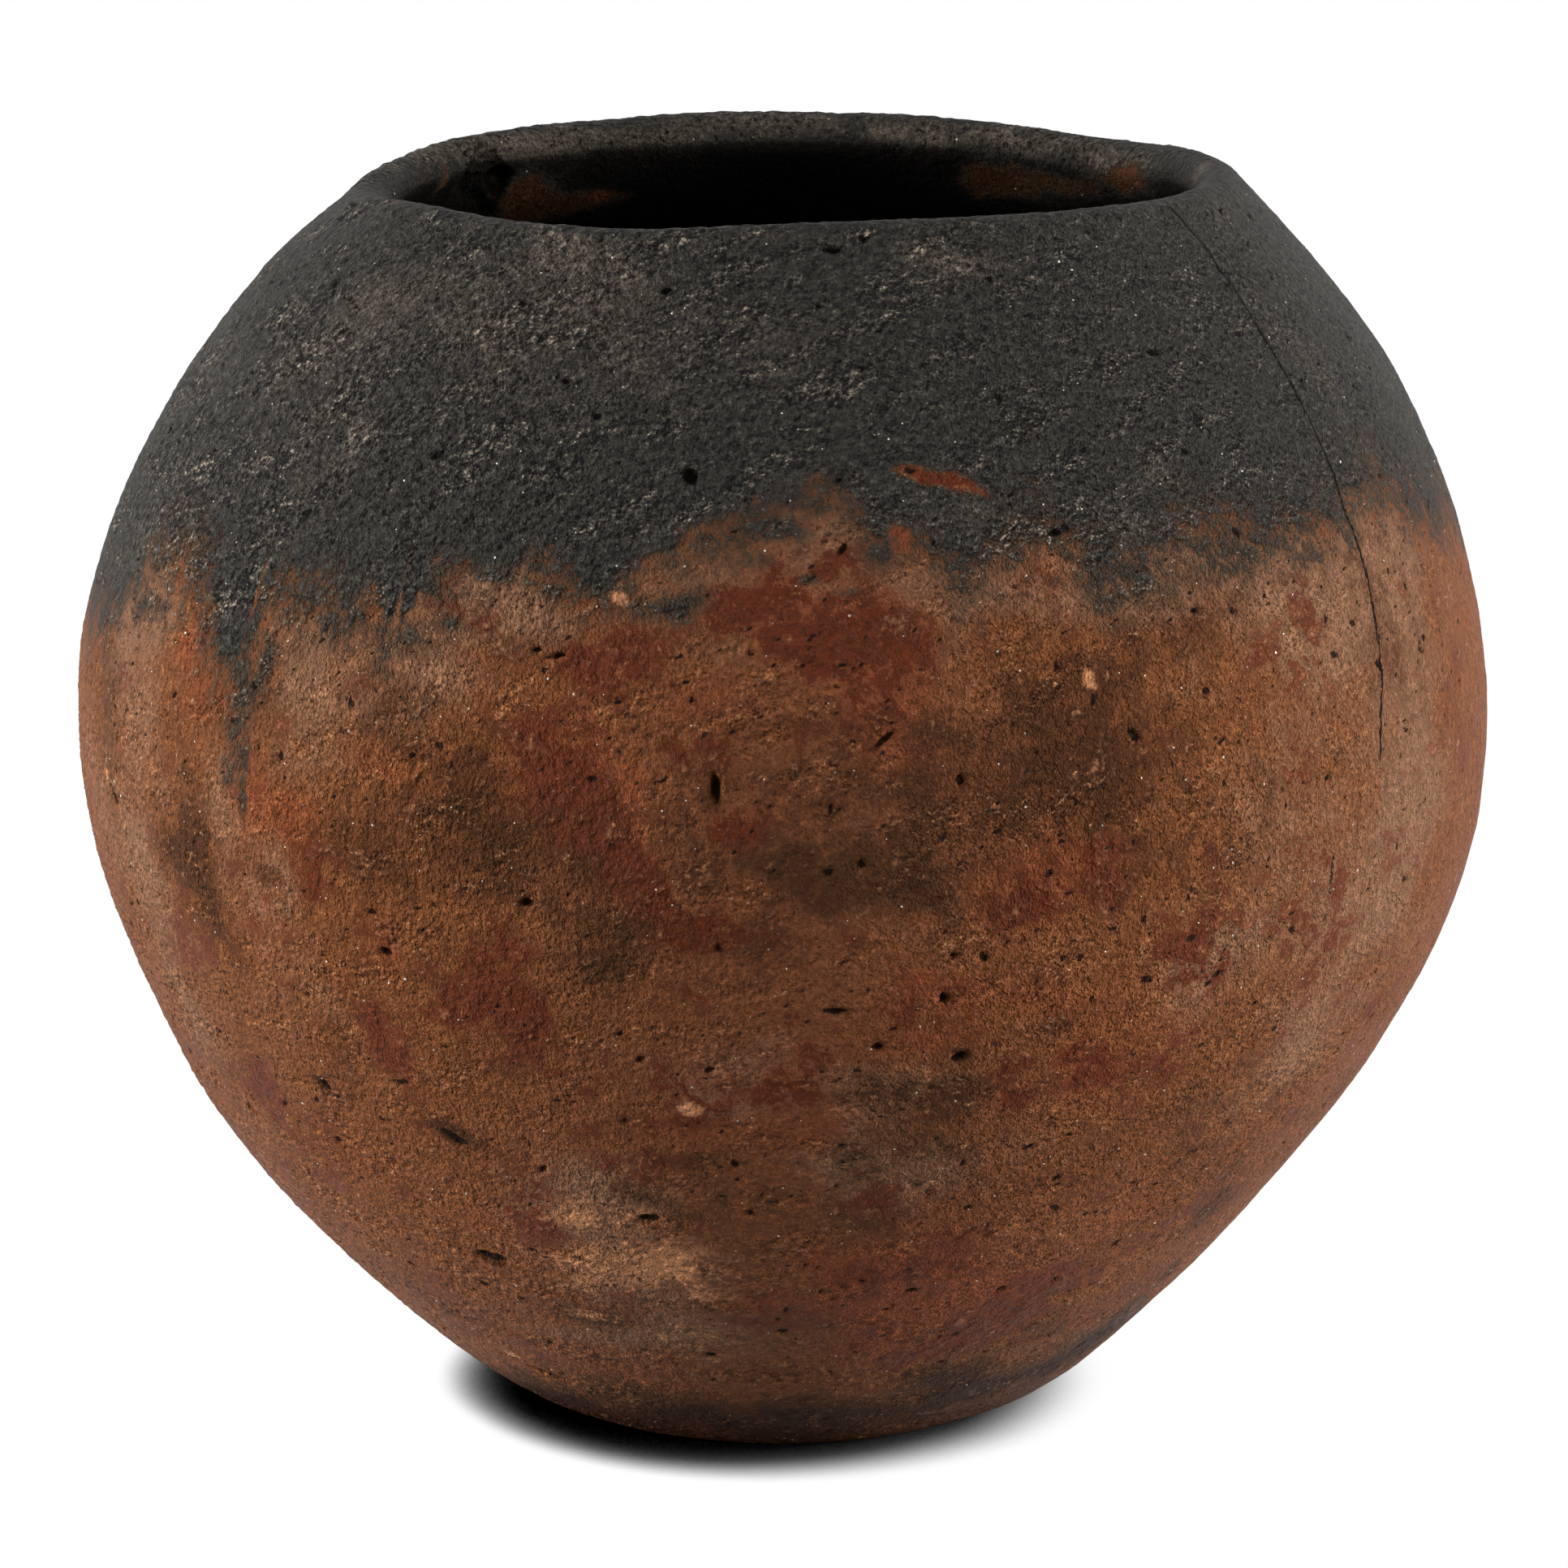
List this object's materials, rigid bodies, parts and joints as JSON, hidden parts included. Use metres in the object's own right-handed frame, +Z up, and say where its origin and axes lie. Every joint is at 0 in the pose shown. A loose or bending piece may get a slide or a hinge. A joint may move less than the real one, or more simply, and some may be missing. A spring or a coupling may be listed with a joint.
{
  "type": "black-topped pottery vase",
  "caption": "Squat round hand-built pottery vase with a wide mouth, narrow flat foot, blackened shoulder and rim over a red slipped body, with a worn lip and an old surface crack.",
  "frame": {"origin": "centre of the flat face the pot stands on, straight below the middle of its belly", "axes": "+Z up from the foot to the mouth, -Y out of the side that faces the viewer, +X to the viewer's right"},
  "size_m": [0.1708, 0.1708, 0.1519],
  "materials": {
    "blackened_clay": "burnished and smoke-blackened, faintly glossy",
    "red_slipped_clay": "red iron slip, burnished and worn",
    "smoked_clay": "brown smoke-stained clay, matt"
  },
  "bodies": {
    "root": {"base_pad": "smoked_clay", "lower_wall_coil_1": "red_slipped_clay", "lower_wall_coil_2": "red_slipped_clay", "belly_coil_1": "red_slipped_clay", "belly_coil_2": "red_slipped_clay", "shoulder_coil_1": "smoked_clay", "shoulder_coil_2": "blackened_clay", "neck_coil": "blackened_clay", "rim_coil": "blackened_clay"}
  },
  "joints": []
}
